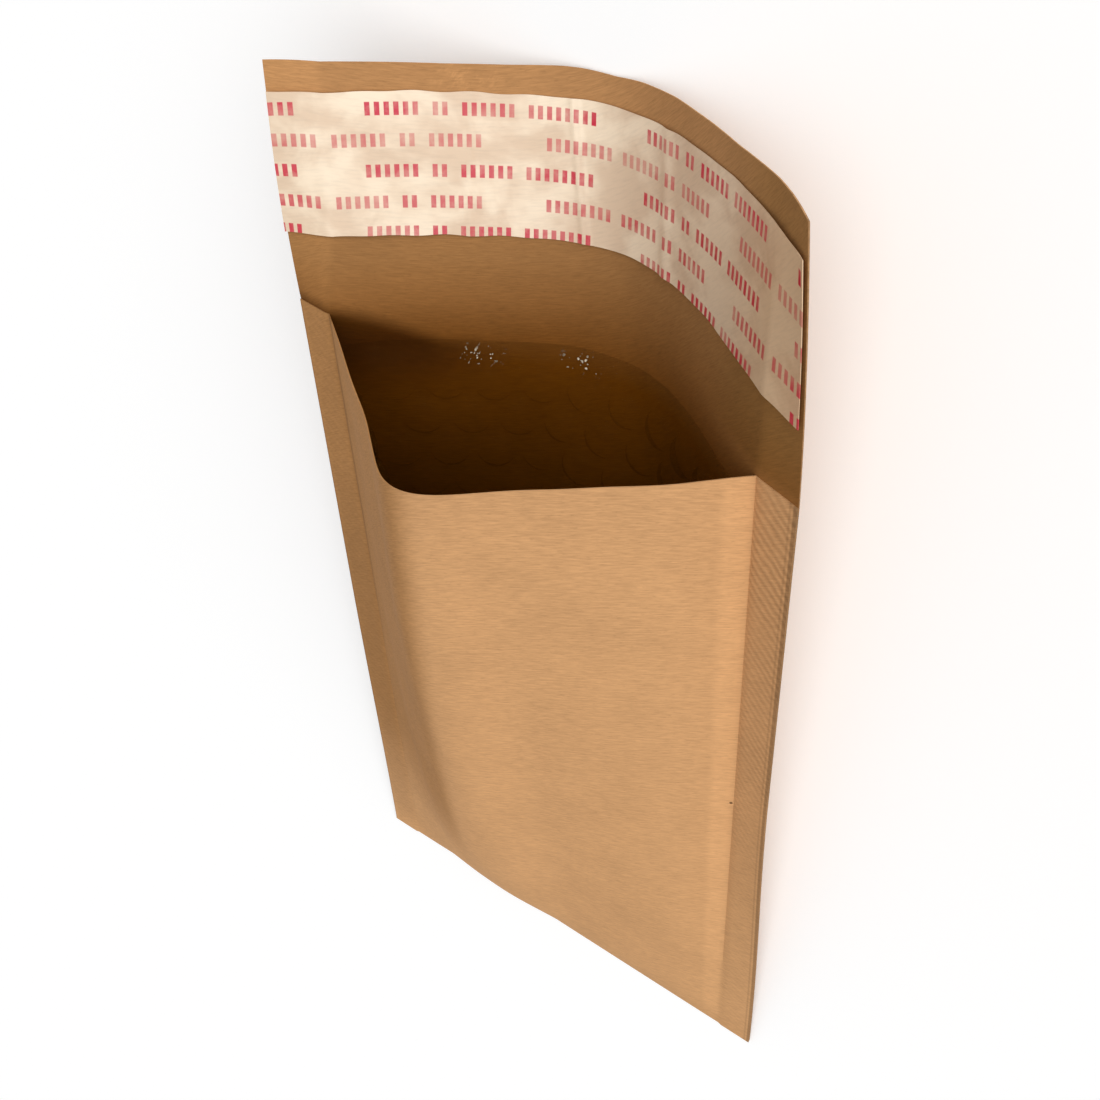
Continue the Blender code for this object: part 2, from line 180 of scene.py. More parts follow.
def front_section(across, along):
    back_x, back_z = even_section(across, along)
    ends = np.array([SEAM, WIDTH - SEAM])
    (x0, x1), (z0, z1) = np.interp(ends, across, back_x), np.interp(ends, across, back_z)
    share = along / BODY
    full = 1 + FRONT_FULLNESS * share
    ridge = WIDTH * (RIDGE_AT_FOLD + (RIDGE_AT_MOUTH - RIDGE_AT_FOLD) * share)
    rounding = RIDGE_ROUND_FOLD + (RIDGE_ROUND_MOUTH - RIDGE_ROUND_FOLD) * share
    left, right = (ridge - SEAM) * full, (WIDTH - SEAM - ridge) * full
    base = min(np.hypot(x1 - x0, z1 - z0), (left + right) * 0.99999)
    climb = np.arccos((left ** 2 + base ** 2 - right ** 2) / (2 * left * base))
    fall = np.arccos((right ** 2 + base ** 2 - left ** 2) / (2 * right * base))
    turn = np.sin(np.clip((across - ridge) / rounding, -1, 1) * np.pi / 2)
    x, z = walk((climb - fall) / 2 - (climb + fall) / 2 * turn, across)
    x, z = x - np.interp(SEAM, across, x), z - np.interp(SEAM, across, z)
    end_x, end_z = np.interp(WIDTH - SEAM, across, x), np.interp(WIDTH - SEAM, across, z)
    way = (across - SEAM) / (WIDTH - 2 * SEAM)
    x = x0 + x * (x1 - x0) / end_x
    swell = full * np.sqrt(along / (along + FOLD_ROUND))
    z = z0 + z * swell + (z1 - z0 - end_z * swell) * way
    inside = (across >= SEAM) & (across <= WIDTH - SEAM)
    return np.where(inside, x, back_x), np.where(inside, z, back_z), lift(FRONT_LIFT, across, along)


class Panel:
    """The inner face of the front or the back, read at any place on the paper."""

    def __init__(self, section, alongs, inward):
        seam = np.linspace(0, SEAM, DENSE_SEAM_COLUMNS)
        panel = np.linspace(SEAM, WIDTH - SEAM, DENSE_COLUMNS + 1)
        self.across = np.concatenate([seam[:-1], panel, WIDTH - seam[::-1][1:]])
        self.along = alongs
        x, z, lifted = np.stack([section(self.across, a) for a in alongs], axis=1)
        length = np.diff(alongs)[:, None]
        left_over = length ** 2 - np.diff(x, axis=0) ** 2 - np.diff(z, axis=0) ** 2
        run = np.sqrt(np.maximum(left_over, (STEEPEST_RISE * length) ** 2))
        y = np.vstack([np.zeros(len(self.across)), np.cumsum(run, axis=0)])
        self.place = np.stack([x, y, z + lifted], axis=2)
        normal = np.cross(np.gradient(self.place, self.across, axis=1),
                          np.gradient(self.place, self.along, axis=0)) * inward
        self.normal = normal / np.linalg.norm(normal, axis=2, keepdims=True)

    def read(self, grid, across, along):
        i = np.interp(along, self.along, np.arange(len(self.along)))
        j = np.interp(across, self.across, np.arange(len(self.across)))
        i0 = np.clip(i.astype(int), 0, len(self.along) - 2)
        j0 = np.clip(j.astype(int), 0, len(self.across) - 2)
        u, v = (i - i0)[..., None], (j - j0)[..., None]
        lower = grid[i0, j0] * (1 - v) + grid[i0, j0 + 1] * v
        upper = grid[i0 + 1, j0] * (1 - v) + grid[i0 + 1, j0 + 1] * v
        return lower * (1 - u) + upper * u

    def at(self, across, along, depth=0.0):
        """Points on the panel, moved inwards by depth."""
        across, along, depth = np.broadcast_arrays(across, along, depth)
        inwards = self.read(self.normal, across, along) * depth[..., None]
        return self.read(self.place, across, along) + inwards


def dense_panels():
    body = BODY * np.linspace(0, 1, DENSE_BODY_ROWS + 1) ** DENSE_CROWDING
    flap = BODY + np.linspace(0, FLAP, DENSE_FLAP_ROWS + 1)
    back = Panel(back_section, np.concatenate([body, flap[1:]]), 1)
    return back, Panel(front_section, body, -1)


BACK, FRONT = dense_panels()


def frame_shift():
    """From the flat envelope's corner frame to the row frame."""
    points = np.concatenate([p.place.reshape(-1, 3) - PAPER * p.normal.reshape(-1, 3)
                             for p in (BACK, FRONT)])
    low, high = points.min(axis=0), points.max(axis=0)
    box_low, box_high = (np.array(corner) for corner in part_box("kraft_envelope"))
    middle = (box_low + box_high - low - high) / 2
    return np.array([middle[0], middle[1], box_low[2] - low[2]])


SHIFT = frame_shift()


class Waves:
    """A smooth, seeded ripple over the paper, between about -1 and 1."""

    def __init__(self, seed, across_size, along_size, count=9):
        made = np.random.RandomState(seed)
        angle = made.uniform(0, 2 * np.pi, count)
        pace = made.uniform(0.6, 1.4, count)
        self.u = np.cos(angle) * pace * 2 * np.pi / across_size
        self.v = np.sin(angle) * pace * 2 * np.pi / along_size
        self.phase = made.uniform(0, 2 * np.pi, count)

    def at(self, across, along):
        total = sum(np.cos(u * across + v * along + p) for u, v, p in zip(self.u, self.v, self.phase))
        return total / np.sqrt(len(self.u))


class Patch:
    """Collects grids of points into one mesh, with the paper's places as its UV map."""

    def __init__(self):
        self.points = []
        self.count = 0
        self.faces = []
        self.uvs = []
        self.slots = []

    def grid(self, points):
        """Adds a grid of points and returns the numbers of its vertices."""
        numbers = np.arange(points[..., 0].size).reshape(points.shape[:-1]) + self.count
        self.points.append(points.reshape(-1, 3))
        self.count += numbers.size
        return numbers

    def skin(self, numbers, uv, slot=0):
        """Faces over a grid of vertex numbers. uv holds each one's across and along."""
        corners = [numbers[:-1, :-1], numbers[:-1, 1:], numbers[1:, 1:], numbers[1:, :-1]]
        places = [uv[:-1, :-1], uv[:-1, 1:], uv[1:, 1:], uv[1:, :-1]]
        quads = np.stack(corners, axis=-1).reshape(-1, 4)
        spots = np.stack(places, axis=2).reshape(-1, 4, 2)
        for quad, spot in zip(quads.tolist(), spots.tolist()):
            self.face(quad, spot, slot)

    def face(self, corners, places, slot=0):
        kept = []
        for corner, place in zip(corners, places):
            if corner not in [k[0] for k in kept]:
                kept.append((corner, place))
        if len(kept) > 2:
            self.faces.append([k[0] for k in kept])
            self.uvs.extend(k[1] for k in kept)
            self.slots.append(slot)

    def build(self, name, materials, sharp=30):
        mesh = bpy.data.meshes.new(name)
        points = np.concatenate(self.points) + SHIFT
        mesh.from_pydata(points.tolist(), [], self.faces)
        layer = mesh.uv_layers.new(name="paper")
        layer.data.foreach_set("uv", np.array(self.uvs, np.float32).ravel())
        for material in materials:
            mesh.materials.append(material)
        mesh.polygons.foreach_set("material_index", np.array(self.slots, np.int32))
        bm = bmesh.new()
        bm.from_mesh(mesh)
        bmesh.ops.recalc_face_normals(bm, faces=bm.faces)
        if bm.calc_volume(signed=True) < 0:
            bmesh.ops.reverse_faces(bm, faces=bm.faces)
        bm.to_mesh(mesh)
        bm.free()
        mesh.shade_smooth()
        mesh.set_sharp_from_angle(angle=radians(sharp))
        piece = bpy.data.objects.new(name, mesh)
        bpy.context.scene.collection.objects.link(piece)
        return piece


# The kraft sheet
SHEET_COLUMNS = 140      # between the seams
SEAM_COLUMNS = 9         # over each seam
SHEET_ROWS = 170         # from the fold to the mouth
SHEET_FLAP_ROWS = 40
INNER_ROWS = 60
FOLD_TIGHTNESS = 1.25    # the rows crowd towards the fold

OUTSIDE, INSIDE = 0, 1

# The paper's bow: its two ripples, and how far from the seams and the fold it is still less
soft_waves = Waves(3, 0.070, 0.110)
small_waves = Waves(8, 0.022, 0.045)
SOFT_BOW = 0.0004
SMALL_BOW = 0.00010
SEAM_REACH = 0.02
FOLD_REACH = 0.05
BACK_BOW_SHARE = 0.5
BACK_BOW_RISE = 0.0006
BACK_BOW_START = 0.1     # along, from where the back bows too


def relief(across, along, front):
    """How far the paper bows inwards from its even surface."""
    seam_share = smooth_step(0, SEAM_REACH, np.minimum(across - SEAM, WIDTH - SEAM - across))
    fold_share = smooth_step(0, FOLD_REACH, along)
    way = along if front else along + 1
    bow = SOFT_BOW * soft_waves.at(across, way) + SMALL_BOW * small_waves.at(across, way)
    if not front:
        bow = BACK_BOW_SHARE * (bow + BACK_BOW_RISE) * smooth_step(BACK_BOW_START, BODY, along)
    return bow * seam_share * fold_share


# The flap's edge was cut a little unevenly: the place across, and how much shorter it is there
FLAP_TRIM = ((0, 0), (0.020, 0.0004), (0.040, 0.0007), (0.055, 0.0005), (0.070, -0.0001),
             (0.081, 0.0004), (0.095, -0.0003), (0.110, 0.0004), (0.129, 0.00075),
             (0.150, -0.0001), (0.160, 0), (0.165, -0.0004))


def trimmed(across, along):
    shorter = np.interp(across, *np.transpose(FLAP_TRIM))
    return along - shorter * np.clip((along - BODY) / FLAP, 0, 1) ** 2


def sheet_across():
    seam = np.linspace(0, SEAM, SEAM_COLUMNS)
    panel = np.linspace(SEAM, WIDTH - SEAM, SHEET_COLUMNS + 1)
    return np.concatenate([seam[:-1], panel, WIDTH - seam[::-1][1:]])


def paper_grid(panel, across, along, depth):
    u, v = np.meshgrid(across, along)
    v = trimmed(u, v)
    front = panel is FRONT
    points = panel.at(u, v, depth + relief(u, v, front))
    return points, np.stack([u, -v if front else v], axis=-1)


def kraft_sheet(materials):
    """The sheet, folded at the bottom and sealed along both sides, with its flap."""
    across = sheet_across()
    inside = slice(SEAM_COLUMNS - 1, len(across) - SEAM_COLUMNS + 1)
    body = BODY * np.linspace(0, 1, SHEET_ROWS + 1) ** FOLD_TIGHTNESS
    inner = BODY * np.linspace(0, 1, INNER_ROWS + 1) ** FOLD_TIGHTNESS
    flap = BODY + np.linspace(0, FLAP, SHEET_FLAP_ROWS + 1)
    patch = Patch()

    points, back_uv = paper_grid(BACK, across, np.concatenate([body, flap[1:]]), -PAPER)
    points[0, :, 1] -= 2 * PAPER
    back = patch.grid(points)
    patch.skin(back, back_uv, OUTSIDE)
    points, front_uv = paper_grid(FRONT, across, body, -PAPER)
    points[0, :, 1] -= 2 * PAPER
    front = patch.grid(points)
    patch.skin(front, front_uv, OUTSIDE)
    patch.skin(np.stack([back[0], front[0]]), np.stack([back_uv[0], front_uv[0]]), OUTSIDE)

    points, flap_uv = paper_grid(BACK, across, flap, 0)
    flap_in = patch.grid(points)
    patch.skin(flap_in, flap_uv, INSIDE)
    points, in_uv = paper_grid(BACK, across[inside], inner[:-1], 0)
    back_in = np.vstack([patch.grid(points), flap_in[0][inside]])
    in_uv = np.concatenate([in_uv, flap_uv[:1, inside]])
    patch.skin(back_in, in_uv, INSIDE)
    points, _ = paper_grid(FRONT, across[inside][1:-1], inner[1:], 0)
    front_in = np.concatenate([back_in[1:, :1], patch.grid(points), back_in[1:, -1:]], axis=1)
    front_in = np.vstack([back_in[0], front_in])
    patch.skin(front_in, in_uv * [1, -1], INSIDE)

    rim = np.concatenate([flap_in[0][:inside.start], front_in[-1], flap_in[0][inside.stop:]])
    patch.skin(np.stack([front[-1], rim]), np.stack([front_uv[-1]] * 2), OUTSIDE)
    patch.skin(np.stack([back[-1], flap_in[-1]]), np.stack([back_uv[-1]] * 2), OUTSIDE)
    for side in (0, -1):
        for i in range(SHEET_ROWS):
            step = [flap_in[0][side]] if i == SHEET_ROWS - 1 else []
            corners = [back[i][side], back[i + 1][side]] + step + [front[i + 1][side], front[i][side]]
            places = [back_uv[i][side], back_uv[i + 1][side]] + [back_uv[i + 1][side]] * len(step)
            places += [front_uv[i + 1][side], front_uv[i][side]]
            patch.face([int(c) for c in corners], [tuple(p) for p in places], OUTSIDE)
        edge = np.stack([back[SHEET_ROWS:, side], flap_in[:, side]])
        patch.skin(edge, np.stack([back_uv[SHEET_ROWS:, side]] * 2), OUTSIDE)
    return patch.build("kraft_paper", materials)


# The bubble film, whose bubbles stand where the CAD model has them
BUBBLE_PITCH = 0.013
BUBBLE_RADIUS = 0.0056
BUBBLE_HEIGHT = 0.0032
BUBBLE_MARGIN = 0.0015
FIELD_START = 0.01068    # along, where the bubbled face starts
DOME_RINGS = (0.3, 0.56, 0.76, 0.89, 0.97, 1.0)
DOME_POINTS = 18
DOME_POWER = 2.5         # above 2, a bubble has a flatter top than a ball
LEAST_FULL = 0.80        # height of the flattest bubble, as a share of a full one's
# Shares of the room between the panels that the film's faces and its bubbles may take up
OUTER_SHARE = 0.08
INNER_SHARE = 0.30
BUBBLE_SHARE = 0.18
FILM_COLUMNS = 72
FILM_ROWS = 110
RIM_POINTS = 96


def bubble_middles(low, high, start, end):
    """Rows of bubbles over the flat film, each set off by half a pitch from the last."""
    reach = BUBBLE_PITCH / np.sqrt(3)
    lift_up = BUBBLE_PITCH * np.sqrt(3) / 2
    rows = int((end - start - 2 * reach) / lift_up) + 1
    in_row = int((high - low - BUBBLE_PITCH) / BUBBLE_PITCH) + 1
    spare = (high - low - BUBBLE_PITCH) - (in_row - 1) * BUBBLE_PITCH
    bottom = (start + end - (rows - 1) * lift_up) / 2
    for i in range(rows):
        offset = (i % 2) * BUBBLE_PITCH / 2
        count = in_row if offset <= spare else in_row - 1
        for k in range(count):
            yield low + BUBBLE_PITCH * (k + 0.5) + offset, bottom + i * lift_up


def bubbled_pattern():
    """The film's inner face, laid out flat: points, height shares, triangles and its rim."""
    low, high = SEAM + FILM_EDGE + FILM_SEAL, WIDTH - SEAM - FILM_EDGE - FILM_SEAL
    start, end = FIELD_START, BODY - FILM_SETBACK
    made = np.random.RandomState(21)
    places, heights = [], []
    edge = BUBBLE_MARGIN
    for middle in bubble_middles(low + edge, high - edge, start + edge, end - edge):
        full = made.uniform(LEAST_FULL, 1.0)
        places.append(middle)
        heights.append(full)
        turn = made.uniform(0, np.pi)
        for share in DOME_RINGS:
            angles = turn + np.arange(DOME_POINTS) * 2 * np.pi / DOME_POINTS
            ring = np.stack([np.cos(angles), np.sin(angles)], axis=1) * BUBBLE_RADIUS * share
            places.extend(tuple(p) for p in ring + middle)
            heights.extend([full * np.sqrt(1 - share ** DOME_POWER)] * DOME_POINTS)
    across = np.linspace(low, high, RIM_POINTS + 1)
    side = np.linspace(start, end, 2 * RIM_POINTS + 1)[1:-1]
    border = [(a, start) for a in across] + [(high, b) for b in side]
    border += [(a, end) for a in across[::-1]] + [(low, b) for b in side[::-1]]
    points = np.array(border + places)
    loop = [(i, (i + 1) % len(border)) for i in range(len(border))]
    result = delaunay_2d_cdt([Vector(p) for p in points], loop, [], 0, 1e-7)
    number = [found[0] for found in result[3]]
    faces = [[number[k] for k in face] for face in result[2]]
    heights = np.concatenate([np.zeros(len(border)), heights])
    first = len(across) + len(side)
    rim = list(range(first, first + len(across)))[::-1]
    shared = [i for i in range(len(border)) if i not in rim[1:-1]]
    return points, heights, faces, rim, shared


def room_at(across, along):
    return np.linalg.norm(FRONT.at(across, along) - BACK.at(across, along), axis=-1)


def film_pair(across, along, depth):
    """Points on the back's film and on the front's, at a depth over the paper."""
    low = BACK.at(across, along, depth + relief(across, along, False))
    high = FRONT.at(across, along, depth + relief(across, along, True))
    return low, high


def film_outer_face(patch):
    across = np.linspace(SEAM + FILM_EDGE, WIDTH - SEAM - FILM_EDGE, FILM_COLUMNS + 1)
    along = np.linspace(FIELD_START - FILM_FOLD, BODY - FILM_SETBACK, FILM_ROWS + 1)
    u, v = np.meshgrid(across, along)
    low, high = film_pair(u, v, np.minimum(CLEARANCE, OUTER_SHARE * room_at(u, v)))
    middle = (low + high) / 2
    low[0], low[:, 0], low[:, -1] = middle[0], middle[:, 0], middle[:, -1]
    backs = patch.grid(low)
    fronts = np.concatenate([backs[1:, :1], patch.grid(high[1:, 1:-1]), backs[1:, -1:]], axis=1)
    fronts = np.vstack([backs[:1], fronts])
    uv = np.stack([u, v], axis=-1)
    patch.skin(backs, uv)
    patch.skin(fronts, uv * [1, -1])
    return backs[-1], fronts[-1], uv[-1]


def film_bubbled_face(patch):
    places, heights, faces, rim, shared = bubbled_pattern()
    across, along = places.T
    room = room_at(across, along)
    depth = np.minimum(CLEARANCE + FILM, INNER_SHARE * room)
    depth = depth + heights * np.minimum(BUBBLE_HEIGHT, BUBBLE_SHARE * room)
    low, high = film_pair(across, along, depth)
    low[shared] = (low[shared] + high[shared]) / 2
    backs = patch.grid(low)
    fronts = backs.copy()
    apart = np.setdiff1d(np.arange(len(places)), shared)
    fronts[apart] = patch.grid(high[apart])
    for numbers, way in ((backs, (1, 1)), (fronts, (1, -1))):
        for face in faces:
            patch.face([int(numbers[i]) for i in face], [tuple(places[i] * way) for i in face])
    return backs[rim], fronts[rim], places[rim]


def film_bag(material):
    """The film bag, whose bubbles stand into the pocket as far as there is room."""
    patch = Patch()
    outer = film_outer_face(patch)
    inner = film_bubbled_face(patch)
    for side in (0, 1):
        join_rows(patch, outer[side], outer[2], inner[side], inner[2])
    return patch.build("bubble_film", [material], 80)


def join_rows(patch, a, a_uv, b, b_uv):
    """Triangles between two rows of points that run the same way but differ in number."""
    i = k = 0
    while i < len(a) - 1 or k < len(b) - 1:
        step_a = i < len(a) - 1 and (k == len(b) - 1 or a_uv[i + 1][0] <= b_uv[k + 1][0])
        if step_a:
            patch.face([int(a[i]), int(a[i + 1]), int(b[k])], [a_uv[i], a_uv[i + 1], b_uv[k]])
            i += 1
        else:
            patch.face([int(a[i]), int(b[k + 1]), int(b[k])], [a_uv[i], b_uv[k + 1], b_uv[k]])
            k += 1


# The release liner
LINER_COLUMNS = 320
LINER_ROWS = 64
liner_waves = Waves(12, 0.030, 0.050)
edge_waves = Waves(5, 0.012, 1.0)
LINER_WAVE = 0.00012
EDGE_WAVE = 0.00015
# Across at the liner's lower edge, across at its upper edge, width and height of each crease
CREASES = ((0.0452, 0.0462, 0.0009, 0.00022), (0.0738, 0.0702, 0.0008, 0.00042),
           (0.0752, 0.0716, 0.0006, 0.00022), (0.1010, 0.1000, 0.0022, 0.00055))


def liner_lift(across, share):
    lifted = LINER_WAVE * (1 + liner_waves.at(across, share * STRIP_WIDTH))
    for low, high, width, height in CREASES:
        away = (across - (low + (high - low) * share)) / width
        lifted = lifted + height * np.exp(-away ** 2)
    return np.maximum(lifted, 0)


def release_liner(material):
    across = np.linspace(0, WIDTH, LINER_COLUMNS + 1)
    share = np.linspace(0, 1, LINER_ROWS + 1)
    u, s = np.meshgrid(across, share)
    wave = EDGE_WAVE * edge_waves.at(u, 0) * (1 - 2 * s)
    v = BODY + STRIP_START + STRIP_WIDTH * s + wave
    depth = 2 * CLEARANCE + GLUE_THICKNESS
    patch = Patch()
    lifted = liner_lift(u, s)
    uv = np.stack([u, v - BODY], axis=-1)
    under = patch.grid(BACK.at(u, v, depth + lifted))
    over = patch.grid(BACK.at(u, v, depth + lifted + STRIP_THICKNESS))
    patch.skin(under, uv)
    patch.skin(over, uv)
    for i in (0, -1):
        patch.skin(np.stack([under[i], over[i]]), np.stack([uv[i]] * 2))
        patch.skin(np.stack([under[:, i], over[:, i]]), np.stack([uv[:, i]] * 2))
    return patch.build("release_paper", [material])


class Material:
    """A Principled material and short forms for its nodes."""

    def __init__(self, name):
        self.made = bpy.data.materials.new(name)
        self.made.use_nodes = True
        self.tree = self.made.node_tree
        self.shader = self.tree.nodes["Principled BSDF"]
        self.object = self.tree.nodes.new("ShaderNodeTexCoord").outputs["Object"]
        self.uv = None

    def put(self, socket, value):
        if hasattr(value, "links"):
            self.tree.links.new(value, socket)
        elif socket.type == "RGBA":
            socket.default_value = (*value, 1)
        else:
            socket.default_value = value

    def node(self, kind, inputs=(), **settings):
        made = self.tree.nodes.new(kind)
        for name, value in settings.items():
            setattr(made, name, value)
        for key, value in dict(inputs).items():
            self.put(made.inputs[key], value)
        return made

    def math(self, operation, *values):
        made = self.node("ShaderNodeMath", dict(enumerate(values)), operation=operation)
        return made.outputs[0]

    def product(self, *values):
        return reduce(lambda a, b: self.math("MULTIPLY", a, b), values)

    def largest(self, values):
        return reduce(lambda a, b: self.math("MAXIMUM", a, b), values)

    def paper(self):
        """The paper's own across and along."""
        if self.uv is None:
            place = self.node("ShaderNodeUVMap", uv_map="paper").outputs[0]
            split = self.node("ShaderNodeSeparateXYZ", {0: place})
            self.uv = split.outputs[0], split.outputs[1]
        return self.uv

    def noise(self, vector, scale=1.0, detail=2.0, roughness=0.5, distortion=0.0):
        made = self.node("ShaderNodeTexNoise", {"Vector": vector, "Scale": scale, "Detail": detail,
                                                "Roughness": roughness, "Distortion": distortion})
        return made.outputs[0]

    def stretched(self, sizes, turn=(0, 0, 0)):
        """Object coordinates in units of a feature's own size along three turned axes."""
        made = self.node("ShaderNodeMapping", {"Vector": self.object, "Rotation": turn,
                                               "Scale": sizes}, vector_type="TEXTURE")
        return made.outputs[0]

    def ramp(self, value, low, high, to_low=0.0, to_high=1.0, smooth=False):
        made = self.node("ShaderNodeMapRange", {"Value": value, "From Min": low, "From Max": high,
                                                "To Min": to_low, "To Max": to_high})
        if smooth:
            made.interpolation_type = "SMOOTHSTEP"
        return made.outputs[0]

    def band(self, value, low, high, soft):
        """1 between two values and 0 outside them, with soft ends."""
        rise = self.ramp(value, low - soft, low + soft, smooth=True)
        fall = self.ramp(value, high - soft, high + soft, 1.0, 0.0, smooth=True)
        return self.product(rise, fall)

    def mix(self, factor, a, b, blend="MIX"):
        made = self.node("ShaderNodeMix", data_type="RGBA", blend_type=blend)
        sockets = [s for s in made.inputs if s.enabled]
        for socket, value in zip(sockets, (factor, a, b)):
            self.put(socket, value)
        return next(s for s in made.outputs if s.enabled)

    def bump(self, height, distance, strength):
        inputs = {"Height": height, "Distance": distance, "Strength": strength}
        return self.node("ShaderNodeBump", inputs).outputs[0]

    def finish(self, **inputs):
        for name, value in inputs.items():
            self.put(self.shader.inputs[name.replace("_", " ")], value)
        return self.made


def linear(*levels):
    """A colour given as screen levels from 0 to 255, as the shader wants it."""
    shares = [level / 255 for level in levels]
    return tuple(s / 12.92 if s <= 0.04045 else ((s + 0.055) / 1.055) ** 2.4 for s in shares)


# Turns that lay a texture's own axes along the photo's right, down and forward
PHOTO_FRAME = Matrix([CAMERA_RIGHT, CAMERA_DOWN, CAMERA_FORWARD]).transposed()
PHOTO_TURN = PHOTO_FRAME.to_euler()
WRINKLE_TURN = (PHOTO_FRAME @ Matrix.Rotation(radians(25), 3, "Z")).to_euler()

# Kraft paper: the size of its grain's features, and how dark and light its streaks are
STREAK = (0.0036, 0.00027, 0.0036)
FIBRE = (0.0014, 0.00034, 0.0014)
CLOUD_SCALE = 55
STREAK_DARK = 0.87
STREAK_LIGHT = 1.14
FIBRE_DARK = 0.86
CLOUD_DARK = 0.93
GRAIN_BUMP = 0.00006


def shaded(made, base, amount, factor):
    """The colour, darkened or lightened to a factor, or one for each channel, where amount is 1."""
    factors = factor if isinstance(factor, tuple) else (factor,) * 3
    return made.mix(amount, base, made.mix(1.0, base, factors, "MULTIPLY"))


def kraft(name, colour):
    """Kraft paper of one colour, with fine streaks, short fibres and soft clouds in it."""
    made = Material(name)
    streaks = made.noise(made.stretched(STREAK, PHOTO_TURN), 1, 2, 0.6)
    fibres = made.noise(made.stretched(FIBRE, PHOTO_TURN), 1, 1, 0.5)
    cloud = made.noise(made.object, CLOUD_SCALE, 3, 0.55)
    dark = tuple(c * STREAK_DARK for c in colour)
    light = tuple(c * STREAK_LIGHT for c in colour)
    base = made.mix(made.ramp(streaks, 0.28, 0.72), dark, light)
    base = shaded(made, base, made.ramp(fibres, 0.60, 0.78, 0, 0.8), FIBRE_DARK)
    base = shaded(made, base, made.ramp(cloud, 0.35, 0.70, 0, 1), CLOUD_DARK)
    height = made.math("ADD", made.product(streaks, 0.5), made.product(fibres, 0.5))
    return made, base, height


def matt_paper(made, base, height):
    return made.finish(Base_Color=base, Roughness=0.8, Specular_IOR_Level=0.08,
                       Normal=made.bump(height, GRAIN_BUMP, 0.7))


# The right heat seal's slanted ribs: their pitch, slope, depth, and how much the slope wanders
SEAL_PITCH = 0.0029
SEAL_SLANT = 0.6
SEAL_DEPTH = 1.6         # in units of the grain's bump
SEAL_WANDER = 0.0022
SEAL_DARK = 0.80
LEFT_SEAL = 0.2          # strength of the left seal's ribs, as a share of the right's
# Lines along the side edges, the first a painted highlight along the left edge and the rest
# dark: whether from the right edge, how far in, half width and shade
EDGE_LINES_AND_HIGHLIGHT = ((False, 0.0011, 0.0009, 1.05), (True, 0.0019, 0.0003, 0.84),
              (True, 0.0004, 0.0006, 0.62), (False, 0.0001, 0.0003, 0.8))
# A dark speck in the front's paper, across and along
SPECK = (0.1519, 0.1339)
SPECK_SIZE = 0.0006


def seam_marks(made, base, height):
    """The heat seals' slanted ribs, and lines along the side edges: a painted highlight along the
    left one and dark lines at both.
    """
    across, along = made.paper()
    to_fold = made.math("ABSOLUTE", along)
    from_right = made.math("SUBTRACT", WIDTH, across)
    wobble = made.noise(made.stretched((0.006, 0.006, 0.006)), 1, 2)
    slant = made.math("MULTIPLY_ADD", across, SEAL_SLANT, to_fold)
    slant = made.math("MULTIPLY_ADD", wobble, SEAL_WANDER, slant)
    ribs = made.math("SINE", made.product(slant, 2 * np.pi / SEAL_PITCH))
    on_right = made.ramp(from_right, SEAM, SEAM - 0.001, smooth=True)
    on_left = made.ramp(across, SEAM, SEAM - 0.001, smooth=True)
    upper = made.ramp(to_fold, 0.10, 0.22, 0.25, 1.0)
    patchy = made.ramp(made.noise(made.stretched((0.02, 0.02, 0.02)), 1, 2), 0.3, 0.6, 0.35, 1.0)
    seal = made.largest([made.product(on_right, upper, patchy), made.product(on_left, LEFT_SEAL)])
    base = shaded(made, base, made.product(seal, made.ramp(ribs, -0.6, 1)), SEAL_DARK)
    # Lines along the edges; the light one along the left edge is a painted highlight
    for at_right, place, width, factor in EDGE_LINES_AND_HIGHLIGHT:
        distance = from_right if at_right else across
        base = shaded(made, base, made.band(distance, place - width, place + width, 0.0002), factor)
    return base, made.math("ADD", height, made.product(ribs, seal, SEAL_DEPTH))


# Painted shade and light on the front. Its left side is painted darker from its seam to its
# ridge, as the photo shows it: painted shade on the side that faces away from the light.
# On the front, along is negative.
LEFT_SIDE_SHADE = (0.70, 0.64, 0.52)
FLANGE_SHADE = 0.84
VALLEY_SHADE = (0.72, 0.70, 0.66)
VALLEY_SHADE_WIDTH = 0.004
RIGHT_HIGHLIGHT_BAND = (WIDTH - SEAM - 0.0062, WIDTH - SEAM - 0.0006)
RIGHT_HIGHLIGHT = 1.11


